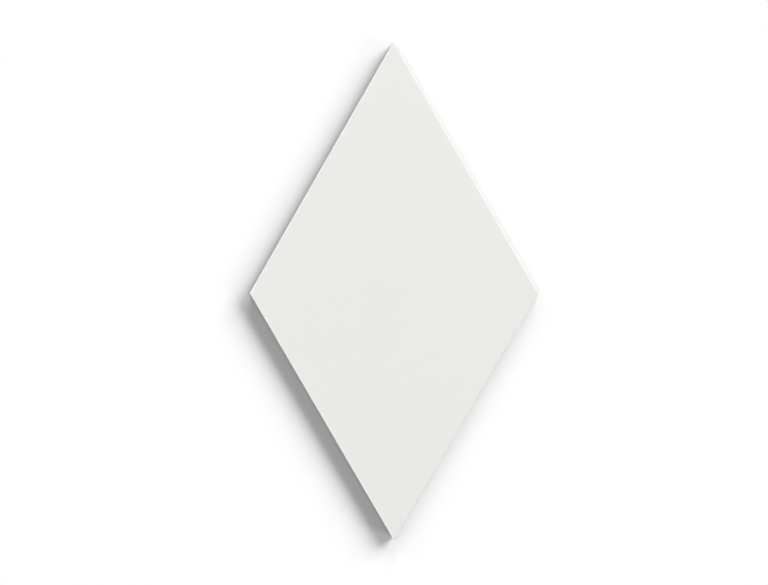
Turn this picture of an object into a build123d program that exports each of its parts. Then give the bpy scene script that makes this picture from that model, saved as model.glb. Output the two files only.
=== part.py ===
"""Diamond wall tile: one piece of pressed, glazed and fired ceramic.

The tile lies on its back with the glazed face up. The origin is the middle of the back,
X runs along the short diagonal, Y along the long diagonal and Z out of the face.
All lengths are in millimetres and all angles in degrees.
"""

import os
from math import cos, radians, sin, tan

from build123d import *

# Outline, seen from the front
side = 152.0  # between sharp corners
acute_angle = 60.0  # at the two ends of the long diagonal
least_corner_radius = 0.2  # what is left of the corner's rounding on the face and on the back

# Section through an edge
thickness = 8.5  # from the back to the face
face_edge_radius = 0.6  # soft arris where the glaze rolls over the edge
leaning_height = 3.5  # the lower part of the side, which leans in towards the back
side_draft = 4.0  # how far that part leans from upright
back_chamfer = 0.35

# Key for the adhesive: shallow pockets pressed into the back, with ribs between them
pockets_per_row = 8
rim_width = 7.5  # plain border between a side and the first pocket
rib_width = 3.0  # at the back's surface
key_depth = 0.8
key_wall_draft = 30.0  # how far the pocket walls lean from upright

# Worked out from the sizes above
half_angle = radians(acute_angle / 2)
slant = sin(radians(acute_angle))  # a length square to a side, over the same length along it
back_inset = leaning_height * tan(radians(side_draft)) + back_chamfer
outline_corner_radius = least_corner_radius + max(face_edge_radius, back_inset)
parting_plane = Plane.XY.offset(leaning_height)  # the side is upright above it
width_across_sides = side * slant
width_of_ribs = (pockets_per_row - 1) * rib_width
pocket_width = (width_across_sides - 2 * rim_width - width_of_ribs) / pockets_per_row
pocket_step = (pocket_width + rib_width) / slant


def diamond(edge):
    """Draws a rhombus with the tile's angles and edges of this length in the open sketch."""
    half_width = edge * sin(half_angle)
    half_height = edge * cos(half_angle)
    Polygon((half_width, 0), (0, half_height), (-half_width, 0), (0, -half_height))


def pocket_centres():
    """Centres of the key's pockets, in rows that run along the tile's sides."""
    steps = [(n - (pockets_per_row - 1) / 2) * pocket_step for n in range(pockets_per_row)]
    return [((a - b) * sin(half_angle), (a + b) * cos(half_angle)) for a in steps for b in steps]


# The shape that one stud of the press leaves in the back
with BuildPart() as pocket:
    with BuildSketch():
        diamond(pocket_width / slant)
    extrude(amount=key_depth)
    draft(pocket.faces().filter_by(Axis.Z, reverse=True), Plane.XY, key_wall_draft)

with BuildPart() as tile:
    with BuildSketch(parting_plane) as outline:
        diamond(side)
        fillet(outline.vertices(), outline_corner_radius)
    extrude(amount=-leaning_height)
    draft(tile.faces().filter_by(Axis.Z, reverse=True), -parting_plane, side_draft)
    extrude(outline.sketch, amount=thickness - leaning_height)

    fillet(tile.faces().sort_by(Axis.Z)[-1].edges(), face_edge_radius)
    chamfer(tile.faces().sort_by(Axis.Z)[0].edges(), back_chamfer)

    with Locations(*pocket_centres()):
        add(pocket.part, mode=Mode.SUBTRACT)

tile.part.label = "tile"

os.makedirs("parts", exist_ok=True)
export_step(tile.part, "parts/tile.step")
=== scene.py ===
"""Looks of the diamond wall tile: glazed face and sides, bare keyed back, and a white studio around it.

All lengths are in metres, in the frame of the solid: the tile lies on its back on the floor, face up.
X runs along the short diagonal, Y along the long diagonal, and the floor is at Z = 0.
"""

from math import atan2, cos, pi, radians, sin, tan

import bpy
import numpy as np
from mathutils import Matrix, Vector


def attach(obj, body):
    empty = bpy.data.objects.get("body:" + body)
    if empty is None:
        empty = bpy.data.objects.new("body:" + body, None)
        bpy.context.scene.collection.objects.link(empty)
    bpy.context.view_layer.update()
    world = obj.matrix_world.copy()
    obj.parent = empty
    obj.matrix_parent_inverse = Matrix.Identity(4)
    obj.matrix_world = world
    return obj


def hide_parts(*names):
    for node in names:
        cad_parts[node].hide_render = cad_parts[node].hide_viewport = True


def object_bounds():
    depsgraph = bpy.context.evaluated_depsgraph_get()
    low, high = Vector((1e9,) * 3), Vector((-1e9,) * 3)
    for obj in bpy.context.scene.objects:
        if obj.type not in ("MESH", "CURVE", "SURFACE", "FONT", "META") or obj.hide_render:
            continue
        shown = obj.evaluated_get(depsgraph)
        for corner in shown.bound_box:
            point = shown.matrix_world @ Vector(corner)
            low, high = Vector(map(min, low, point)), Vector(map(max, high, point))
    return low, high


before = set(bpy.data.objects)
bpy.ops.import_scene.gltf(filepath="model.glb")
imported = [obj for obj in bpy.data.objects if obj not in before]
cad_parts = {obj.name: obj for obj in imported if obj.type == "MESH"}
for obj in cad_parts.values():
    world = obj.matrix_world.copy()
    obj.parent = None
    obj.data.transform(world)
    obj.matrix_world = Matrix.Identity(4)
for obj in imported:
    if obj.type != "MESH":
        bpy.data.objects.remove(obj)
solid_low, solid_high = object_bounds()

MM = 0.001

# The tile's sizes, as in the solid
SIDE = 152 * MM
HALF_ANGLE = radians(60 / 2)
THICKNESS = solid_high.z
CORNER_RADIUS = 0.8 * MM
LEANING_HEIGHT = 3.5 * MM
SIDE_LEAN = tan(radians(4))
BACK_CHAMFER = 0.35 * MM
POCKETS_PER_ROW = 8
RIM_WIDTH = 7.5 * MM
RIB_WIDTH = 3 * MM
KEY_DEPTH = 0.8 * MM
KEY_WALL_WIDTH = KEY_DEPTH * tan(radians(30))

# The glaze's own relief, which the solid leaves out
EDGE_WIDTH = 1.0 * MM  # how far in from the side the face rolls over
EDGE_DROP = 0.55 * MM  # how far down it rolls before the side stands upright
PILLOW_WIDTH = 3.2 * MM  # how far in from the side the face starts to sink, before it rolls over
PILLOW_DROP = 0.035 * MM
CLEARANCE = 0.005 * MM  # keeps the sides inside the solid's box
FACE_WAVE = 0.02 * MM  # height of the slow waves that a poured glaze keeps
GLAZE_LINE = 5.6 * MM  # where the glaze on the sides ends, on average
GLAZE_LINE_WAVE = 0.25 * MM
GLAZE_LIP = 0.1 * MM  # thickness of the glaze at that line

# Waves of the face: share of the height, turns in radians to the metre along X and Y, and start
FACE_WAVES = ((0.5, 62, 41, 0.6), (0.3, -57, 95, 2.1), (0.2, 151, 118, 4.0))
# Runs of the glaze line: share of the height, number round the tile, and start
GLAZE_RUNS = ((0.4, 9, 0.4), (0.3, 23, 1.9), (0.2, 57, 3.3), (0.1, 89, 5.1))

# Worked out from the sizes above
WIDTH_ACROSS_SIDES = SIDE * sin(2 * HALF_ANGLE)
WIDTH_OF_RIBS = (POCKETS_PER_ROW - 1) * RIB_WIDTH
POCKET_WIDTH = (WIDTH_ACROSS_SIDES - 2 * RIM_WIDTH - WIDTH_OF_RIBS) / POCKETS_PER_ROW
POCKET_STARTS = [RIM_WIDTH + n * (POCKET_WIDTH + RIB_WIDTH) for n in range(POCKETS_PER_ROW)]

# Rows of the mesh's points: on the rim, as distances from a side
RIM_ROWS = np.concatenate([[CORNER_RADIUS], np.array([0.9, 1.0, 1.35, 1.9, 2.8, 4.2, 5.8]) * MM])
KEY_SOFTNESS = 0.12 * MM  # rounding of the pockets' edges
POCKET_WALL_ROWS = 5
POCKET_FLOOR_ROWS = 4
ARC_STEPS = 10  # round each corner of the outline
LEAST_ARC_RADIUS = 0.05 * MM
ROLL_STEPS = 12  # from the face over the edge to the upright side
# Down the glazed side: share of the way to the glaze line, and inset, which swells a little above the lip
GLAZED_ROWS = (
    (0.3, 0.02 * MM),
    (0.6, 0.03 * MM),
    (0.8, 0.025 * MM),
    (0.9, 0.01 * MM),
    (0.96, 0),
    (1.0, 0.012 * MM),
)
# Under the lip: distance below the glaze line, and share of the lip's thickness
LIP_ROWS = ((0.04 * MM, 0.35), (0.08 * MM, 0.75), (0.13 * MM, 1.0))
LIP_HEIGHT = 0.2 * MM
BARE_ROWS = (0.4, 0.8, 0.95, 1.0)  # share of the way from the lip to the leaning part
LEANING_ROWS = (3.3 * MM, 2.4 * MM, 1.5 * MM, 0.7 * MM, 0.45 * MM)  # heights
CHAMFER_STEPS = 4
CHAMFER_WIDTH = 0.8 * BACK_CHAMFER
MAP_MARGIN = 0.006  # left free round each part of the texture


# Shape of the tile


def smooth_step(t):
    """0 below 0, 1 above 1 and a soft S between them."""
    t = np.clip(t, 0, 1)
    return t * t * (3 - 2 * t)


def stops():
    """Distances from a side, square to it, at which the face and the back have a row of points."""
    wall = np.linspace(-KEY_SOFTNESS, KEY_WALL_WIDTH + KEY_SOFTNESS, POCKET_WALL_ROWS)
    floor = np.linspace(wall[-1], POCKET_WIDTH - wall[-1], POCKET_FLOOR_ROWS + 2)[1:-1]
    pocket = np.concatenate([wall, floor, POCKET_WIDTH - wall[::-1]])
    rows = [RIM_ROWS]
    for start in POCKET_STARTS:
        rows.append(start + pocket)
        rows.append([start + POCKET_WIDTH + RIB_WIDTH / 2])
    rows[-1] = WIDTH_ACROSS_SIDES - RIM_ROWS[::-1]
    return np.concatenate(rows)


def inner_corners():
    """Centres of the outline's corner arcs: bottom, right, top and left, as seen from the front."""
    shrink = 1 - CORNER_RADIUS / (WIDTH_ACROSS_SIDES / 2)
    half_width = SIDE * sin(HALF_ANGLE) * shrink
    half_height = SIDE * cos(HALF_ANGLE) * shrink
    return np.array([(0, -half_height), (half_width, 0), (0, half_height), (-half_width, 0)])


def outline(share):
    """Points round the tile, from the bottom corner: for each its anchor on the inner rhombus, the way
    outwards, and the point of the face's and the back's grid that lies inside it."""
    corners = inner_corners()
    count = len(share)
    along = np.roll(corners, -1, axis=0) - corners
    turn = [atan2(-dx, dy) for dx, dy in along]
    last = count - 1
    grid_row = [
        lambda j: j * count,
        lambda j: last * count + j,
        lambda j: (last - j) * count + last,
        lambda j: last - j,
    ]
    anchors, outwards, inside = [], [], []
    for k in range(4):
        sweep = (turn[k] - turn[k - 1]) % (2 * pi)
        for angle in turn[k - 1] + sweep * np.linspace(0, 1, ARC_STEPS + 1):
            anchors.append(corners[k])
            outwards.append((cos(angle), sin(angle)))
            inside.append(grid_row[k](0))
        for j in range(1, last):
            anchors.append(corners[k] + share[j] * along[k])
            outwards.append((cos(turn[k]), sin(turn[k])))
            inside.append(grid_row[k](j))
    return np.array(anchors), np.array(outwards), inside


def edge_drop(inset):
    """How far the glaze lies below the face at this distance in from the side."""
    across = np.clip(1 - inset / EDGE_WIDTH, 0, 1)
    sinking = np.clip(1 - inset / PILLOW_WIDTH, 0, 1)
    return EDGE_DROP * (1 - np.sqrt(1 - across * across)) + PILLOW_DROP * sinking * sinking


def face_wave(x, y):
    """Slow waves of the glaze, from 0 down to twice FACE_WAVE."""
    wave = sum(
        share * np.sin(turn_x * x + turn_y * y + start) for share, turn_x, turn_y, start in FACE_WAVES
    )
    return FACE_WAVE * (1 + wave)


def key_share(p):
    """How deep the key is at this distance from a side, as a share of its depth, along one direction."""
    deep = np.zeros_like(p)
    reach = KEY_WALL_WIDTH + 2 * KEY_SOFTNESS
    for start in POCKET_STARTS:
        rise = smooth_step((p - start + KEY_SOFTNESS) / reach)
        fall = smooth_step((start + POCKET_WIDTH + KEY_SOFTNESS - p) / reach)
        deep = np.maximum(deep, np.minimum(rise, fall))
    return deep


def way_round(places):
    """Length of the way round the tile up to each of these places, and the whole of it."""
    steps = np.linalg.norm(np.roll(places, -1, axis=0) - places, axis=1)
    return np.cumsum(steps) - steps, steps.sum()


def glaze_line(places):
    """Height of the glaze's lower rim at these places round the tile, with its uneven runs."""
    along, whole = way_round(places)
    turn = 2 * pi * along / whole
    return GLAZE_LINE + GLAZE_LINE_WAVE * sum(
        share * np.sin(number * turn + start) for share, number, start in GLAZE_RUNS
    )


def side_rings(anchors, outwards):
    """Rings of points down the edge, from the face to the back: insets, heights and shares of glaze."""
    line = glaze_line(anchors + CORNER_RADIUS * outwards)
    flat = np.ones(len(anchors))
    rings = []

    # Over the edge
    for angle in np.linspace(0, pi / 2, ROLL_STEPS + 1):
        inset = EDGE_WIDTH * (1 - sin(angle))
        if inset < CORNER_RADIUS - LEAST_ARC_RADIUS:
            at = anchors + (CORNER_RADIUS - inset) * outwards
            height = THICKNESS - edge_drop(inset) - face_wave(at[:, 0], at[:, 1]) * cos(angle)
            rings.append((inset * flat, height, flat))

    # Down the glazed part of the side, and under its lip
    upper = THICKNESS - EDGE_DROP - PILLOW_DROP
    for share, inset in GLAZED_ROWS:
        rings.append((inset * flat, upper + share * (line - upper), flat))
    for below, share in LIP_ROWS:
        rings.append((share * GLAZE_LIP * flat, line - below, (1 - share) * flat))

    # Down the bare body, which leans in towards the back
    start = line - LIP_HEIGHT
    for share in BARE_ROWS:
        rings.append((GLAZE_LIP * flat, start + share * (LEANING_HEIGHT - start), 0 * flat))
    for height in LEANING_ROWS:
        lean = (LEANING_HEIGHT - height) * SIDE_LEAN
        rings.append(((GLAZE_LIP + lean) * flat, height * flat, 0 * flat))
    low_lean = GLAZE_LIP + LEANING_HEIGHT * SIDE_LEAN
    for angle in np.linspace(0, pi / 2, CHAMFER_STEPS + 1):
        inset = low_lean + CHAMFER_WIDTH * (1 - cos(angle))
        rings.append((inset * flat, BACK_CHAMFER * (1 - sin(angle)) * flat, 0 * flat))
    return rings


def sheet_faces(count, back_start, a, b):
    """Faces of the tile's face and back, and the places of their corners on the texture: side by side in
    its lower half."""
    room = 0.5 - 2 * MAP_MARGIN
    face_map = np.column_stack([MAP_MARGIN + room * a, MAP_MARGIN + room * b])
    back_map = np.column_stack([1 - MAP_MARGIN - room * a, MAP_MARGIN + room * b])
    faces, maps = [], []
    for i in range(count - 1):
        for j in range(count - 1):
            n = i * count + j
            quad = (n, n + count, n + count + 1, n + 1)
            faces.append(quad)
            maps.extend(face_map[m] for m in quad)
            faces.append(tuple(back_start + m for m in reversed(quad)))
            maps.extend(back_map[m] for m in reversed(quad))
    return faces, maps


def side_faces(rows, places):
    """Faces of the sides, and the places of their corners on the texture: four strips in its upper half.

    Each row holds the numbers of the points round the tile, from the face's down to the back's.
    """
    round_count = len(places)
    side_count = round_count // 4
    strip = 0.5 / 4
    along, whole = way_round(places)
    down = np.linspace(1, 0, len(rows))

    def place_on_map(column, end, row):
        """Place of a point: end is 1 for the column that closes its face, else 0."""
        number = (column - end) % round_count // side_count
        reach = 1 if end and column % side_count == 0 else along[column] * 4 / whole - number
        low = 0.5 + number * strip + MAP_MARGIN
        return MAP_MARGIN + (1 - 2 * MAP_MARGIN) * reach, low + (strip - 2 * MAP_MARGIN) * down[row]

    faces, maps = [], []
    for j in range(round_count):
        k = (j + 1) % round_count
        for r in range(len(rows) - 1):
            upper, lower = rows[r], rows[r + 1]
            corners = {}  # next to the grids' corners two of the four are one point
            for point, place in (
                (upper[j], (j, 0, r)),
                (lower[j], (j, 0, r + 1)),
                (lower[k], (k, 1, r + 1)),
                (upper[k], (k, 1, r)),
            ):
                corners.setdefault(point, place)
            faces.append(tuple(corners))
            maps.extend(place_on_map(*place) for place in corners.values())
    return faces, maps


def tile_mesh():
    """The whole tile as one closed mesh, with the share of glaze at each point."""
    distance = stops()
    share = (distance - CORNER_RADIUS) / (WIDTH_ACROSS_SIDES - 2 * CORNER_RADIUS)
    p, q = (grid.ravel() for grid in np.meshgrid(distance, distance, indexing="ij"))
    a, b = (grid.ravel() for grid in np.meshgrid(share, share, indexing="ij"))
    corners = inner_corners()
    plan = corners[0] + np.outer(a, corners[1] - corners[0]) + np.outer(b, corners[3] - corners[0])
    inset = np.minimum.reduce([p, WIDTH_ACROSS_SIDES - p, q, WIDTH_ACROSS_SIDES - q])
    face = THICKNESS - edge_drop(inset) - face_wave(plan[:, 0], plan[:, 1])
    back = KEY_DEPTH * np.minimum(key_share(p), key_share(q))

    anchors, outwards, inside = outline(share)
    points = [np.column_stack([plan, face])]
    glaze = [np.ones(len(plan))]
    rows = [inside]
    next_point = len(plan)
    for ring_inset, height, ring_glaze in side_rings(anchors, outwards):
        at = anchors + (CORNER_RADIUS - CLEARANCE - ring_inset)[:, None] * outwards
        points.append(np.column_stack([at, height]))
        glaze.append(ring_glaze)
        rows.append(range(next_point, next_point + len(anchors)))
        next_point += len(anchors)
    points.append(np.column_stack([plan, back]))
    glaze.append(np.zeros(len(plan)))
    rows.append([next_point + m for m in inside])

    flat_faces, flat_maps = sheet_faces(len(share), next_point, a, b)
    round_faces, round_maps = side_faces(rows, anchors + CORNER_RADIUS * outwards)
    maps = np.array(flat_maps + round_maps, dtype=np.float32)

    mesh = bpy.data.meshes.new("glazed_tile")
    mesh.from_pydata(np.concatenate(points).tolist(), [], flat_faces + round_faces)
    mesh.attributes.new("glaze", "FLOAT", "POINT").data.foreach_set("value", np.concatenate(glaze))
    mesh.uv_layers.new(name="OFBake").data.foreach_set("uv", maps.ravel())
    mesh.shade_smooth()
    return mesh


# Materials

GLAZE_COLOR = (0.808, 0.815, 0.786, 1)
GLAZE_COLOR_WARM = (0.803, 0.806, 0.772, 1)
GLAZE_ROUGHNESS = (0.14, 0.2)
GLAZE_RELIEF = 0.012 * MM
GLAZE_IOR = 1.5
BODY_COLOR = (0.74, 0.70, 0.62, 1)
BODY_COLOR_DARK = (0.66, 0.61, 0.53, 1)
BODY_ROUGHNESS = 0.9
BODY_RELIEF = 0.08 * MM
# Places of a mix node's A and B inputs and of its result, for each kind of value
MIX_SOCKETS = {"FLOAT": (2, 3, 0), "RGBA": (6, 7, 2)}


def add_node(tree, kind, **values):
    """Adds a node. A value named as an input sets that input, and others set the node's own settings."""
    node = tree.nodes.new(kind)
    for name, value in values.items():
        socket = node.inputs.get(name.replace("_", " "))
        if socket is not None:
            socket.default_value = value
        else:
            setattr(node, name, value)
    return node


def new_tree(name):
    """A material with an empty node tree and its output."""
    material = bpy.data.materials.new(name)
    material.use_nodes = True
    material.node_tree.nodes.clear()
    return material, material.node_tree, material.node_tree.nodes.new("ShaderNodeOutputMaterial")


def mix(tree, kind, factor, a, b):
    """Mixes two numbers or two colours, each a value or an output, by an output."""
    node = add_node(tree, "ShaderNodeMix", data_type=kind)
    tree.links.new(factor, node.inputs["Factor"])
    *inputs, result = MIX_SOCKETS[kind]
    for number, value in zip(inputs, (a, b)):
        if isinstance(value, bpy.types.NodeSocket):
            tree.links.new(value, node.inputs[number])
        else:
            node.inputs[number].default_value = value
    return node.outputs[result]


def noise(tree, place, scale, detail):
    """A noise of this many features to the metre."""
    node = add_node(tree, "ShaderNodeTexNoise", Scale=scale, Detail=detail)
    tree.links.new(place, node.inputs["Vector"])
    return node.outputs["Fac"]


def ceramic():
    """White glaze where the mesh says so, and bare fired clay elsewhere."""
    material, tree, output = new_tree("glazed_ceramic")
    place = tree.nodes.new("ShaderNodeTexCoord").outputs["Object"]
    glazed = add_node(tree, "ShaderNodeAttribute", attribute_name="glaze").outputs["Fac"]

    drift = noise(tree, place, scale=60, detail=4)
    speckle = noise(tree, place, scale=500, detail=6)
    glaze_color = mix(tree, "RGBA", drift, GLAZE_COLOR_WARM, GLAZE_COLOR)
    body_color = mix(tree, "RGBA", speckle, BODY_COLOR_DARK, BODY_COLOR)
    color = mix(tree, "RGBA", glazed, body_color, glaze_color)

    glaze_rough = mix(tree, "FLOAT", noise(tree, place, scale=220, detail=3), *GLAZE_ROUGHNESS)
    rough = mix(tree, "FLOAT", glazed, BODY_ROUGHNESS, glaze_rough)

    glaze_relief = mix(tree, "FLOAT", noise(tree, place, scale=450, detail=2), 0.0, GLAZE_RELIEF)
    body_relief = mix(tree, "FLOAT", noise(tree, place, scale=1500, detail=6), 0.0, BODY_RELIEF)
    bump = add_node(tree, "ShaderNodeBump", Distance=1.0)
    tree.links.new(mix(tree, "FLOAT", glazed, body_relief, glaze_relief), bump.inputs["Height"])

    shader = add_node(tree, "ShaderNodeBsdfPrincipled", IOR=GLAZE_IOR)
    tree.links.new(color, shader.inputs["Base Color"])
    tree.links.new(rough, shader.inputs["Roughness"])
    tree.links.new(bump.outputs["Normal"], shader.inputs["Normal"])
    tree.links.new(shader.outputs["BSDF"], output.inputs["Surface"])
    return material


# Studio: floor, lamps and camera

WHITE = (1, 1, 1, 1)
FLOOR_SIZE = 12.0
FLOOR_FADE = (0.17, 0.24)  # where the floor turns to plain white for the camera, from the tile's middle
DOME_LEVEL = 0.05  # what the surround adds to the light, where 1 is white
CAMERA_PLACE = (0.013, 0.0576, 0.9589)
CAMERA_TURN = (-3.45, 1.095, -0.056)  # degrees about X, Y and Z, from straight down
LENS = 85.0  # millimetres, as is the sensor's width
SENSOR = 36.0


def camera_sees(tree):
    """1 for rays that show the background: those of the camera, of reflections and through glass."""
    path = tree.nodes.new("ShaderNodeLightPath")
    total = path.outputs["Is Camera Ray"]
    for name in ("Is Glossy Ray", "Is Transmission Ray"):
        node = add_node(tree, "ShaderNodeMath", operation="MAXIMUM")
        tree.links.new(total, node.inputs[0])
        tree.links.new(path.outputs[name], node.inputs[1])
        total = node.outputs[0]
    return total


def white_world():
    """A plain white surround that lights the tile only a little."""
    world = bpy.data.worlds.new("studio")
    world.use_nodes = True
    tree = world.node_tree
    tree.nodes.clear()
    background = add_node(tree, "ShaderNodeBackground", Color=WHITE)
    tree.links.new(mix(tree, "FLOAT", camera_sees(tree), DOME_LEVEL, 1.0), background.inputs["Strength"])
    output = tree.nodes.new("ShaderNodeOutputWorld")
    tree.links.new(background.outputs["Background"], output.inputs["Surface"])
    # Only rays that leave a surface then find it, and the floor's pass the tile, so it leaves no shadow
    world.cycles.sampling_method = "NONE"
    bpy.context.scene.world = world


def white_floor():
    """A white floor that keeps the tile's shadow and turns to plain white away from it."""
    half = FLOOR_SIZE / 2
    corners = [(-half, -half, 0), (half, -half, 0), (half, half, 0), (-half, half, 0)]
    mesh = bpy.data.meshes.new("floor")
    mesh.from_pydata(corners, [], [(0, 1, 2, 3)])
    floor = bpy.data.objects.new("floor", mesh)
    bpy.context.scene.collection.objects.link(floor)

    material, tree, output = new_tree("white_floor")
    diffuse = add_node(tree, "ShaderNodeBsdfDiffuse", Color=WHITE)
    plain = add_node(tree, "ShaderNodeEmission", Color=WHITE, Strength=1.0)
    far = add_node(tree, "ShaderNodeVectorMath", operation="LENGTH")
    tree.links.new(tree.nodes.new("ShaderNodeNewGeometry").outputs["Position"], far.inputs[0])
    fade = add_node(tree, "ShaderNodeMapRange", interpolation_type="SMOOTHSTEP")
    fade.inputs["From Min"].default_value, fade.inputs["From Max"].default_value = FLOOR_FADE
    tree.links.new(far.outputs["Value"], fade.inputs["Value"])
    share = add_node(tree, "ShaderNodeMath", operation="MULTIPLY")
    tree.links.new(fade.outputs["Result"], share.inputs[0])
    tree.links.new(camera_sees(tree), share.inputs[1])
    blend = tree.nodes.new("ShaderNodeMixShader")
    tree.links.new(share.outputs[0], blend.inputs["Fac"])
    tree.links.new(diffuse.outputs["BSDF"], blend.inputs[1])
    tree.links.new(plain.outputs["Emission"], blend.inputs[2])
    tree.links.new(blend.outputs["Shader"], output.inputs["Surface"])
    mesh.materials.append(material)
    return floor


def lamp(name, azimuth, elevation, distance, half_angle, level):
    """A round lamp that looks at the tile. Level is its light on a white floor there, where 1 is white."""
    azimuth, elevation, half_angle = radians(azimuth), radians(elevation), radians(half_angle)
    towards = Vector((cos(elevation) * cos(azimuth), cos(elevation) * sin(azimuth), sin(elevation)))
    light = bpy.data.lights.new(name, "AREA")
    light.shape = "DISK"
    light.size = 2 * distance * tan(half_angle)
    light.energy = level * (pi * distance) ** 2 / (sin(elevation) * cos(half_angle) ** 2)
    holder = bpy.data.objects.new(name, light)
    holder.location = distance * towards
    holder.rotation_euler = towards.to_track_quat("Z", "Y").to_euler()
    bpy.context.scene.collection.objects.link(holder)
    return holder


def light_only(holder, receiver):
    """Keeps the light of a lamp on one object."""
    receivers = bpy.data.collections.new(holder.name + "_receiver")
    receivers.objects.link(receiver)
    holder.light_linking.receiver_collection = receivers


def floor_lamps(floor):
    """Lamps for the floor alone, which draw the tile's soft shadow, longest at its lower left."""
    for holder in (
        lamp("key", azimuth=42, elevation=29, distance=14, half_angle=17, level=0.478),
        lamp("second", azimuth=80, elevation=27.5, distance=8, half_angle=12, level=0.144),
        lamp("right", azimuth=340, elevation=25, distance=9, half_angle=11, level=0.076),
        lamp("high", azimuth=304, elevation=85, distance=9, half_angle=19, level=0.212),
        lamp("upper", azimuth=125, elevation=22, distance=9, half_angle=16, level=0.042),
        lamp("fill", azimuth=185, elevation=35, distance=9, half_angle=20, level=0.024),
    ):
        light_only(holder, floor)
        # Without this the floor's own rays, which pass the tile, find the lamps too and lighten the shadow
        holder.data.cycles.use_multiple_importance_sampling = False


def tile_lamps(tile):
    """Lamps for the tile alone: four that the glaze doesn't mirror, and two that it only mirrors, for the
    bright lines along its left edges."""
    for holder in (
        lamp("window", azimuth=60, elevation=48, distance=9, half_angle=38, level=0.48),
        lamp("soft", azimuth=90, elevation=86, distance=10, half_angle=30, level=0.294),
        lamp("rim", azimuth=25, elevation=30, distance=1.4, half_angle=20, level=0.12),
        lamp("side", azimuth=206, elevation=11, distance=1.6, half_angle=6, level=0.06),
    ):
        light_only(holder, tile)
        holder.visible_glossy = False
    for holder in (
        lamp("glint_upper", azimuth=150, elevation=66, distance=9, half_angle=14, level=0.17),
        lamp("glint_lower", azimuth=210, elevation=62, distance=9, half_angle=15, level=0.19),
    ):
        light_only(holder, tile)
        holder.visible_diffuse = False


def top_camera():
    """A camera that looks down, leaning a little, so that the tile lands where the photograph shows it."""
    data = bpy.data.cameras.new("camera")
    data.lens = LENS
    data.sensor_width = SENSOR
    camera = bpy.data.objects.new("camera", data)
    camera.location = CAMERA_PLACE
    camera.rotation_euler = [radians(angle) for angle in CAMERA_TURN]
    bpy.context.scene.collection.objects.link(camera)
    bpy.context.scene.camera = camera


tile = bpy.data.objects.new("glazed_tile", tile_mesh())
tile.data.materials.append(ceramic())
bpy.context.scene.collection.objects.link(tile)
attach(tile, "root")
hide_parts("tile")
tile.visible_diffuse = False  # the shadow stays neutral, with no light from the tile on the floor

white_world()
floor_lamps(white_floor())
tile_lamps(tile)
top_camera()
bpy.context.scene.view_settings.view_transform = "Standard"
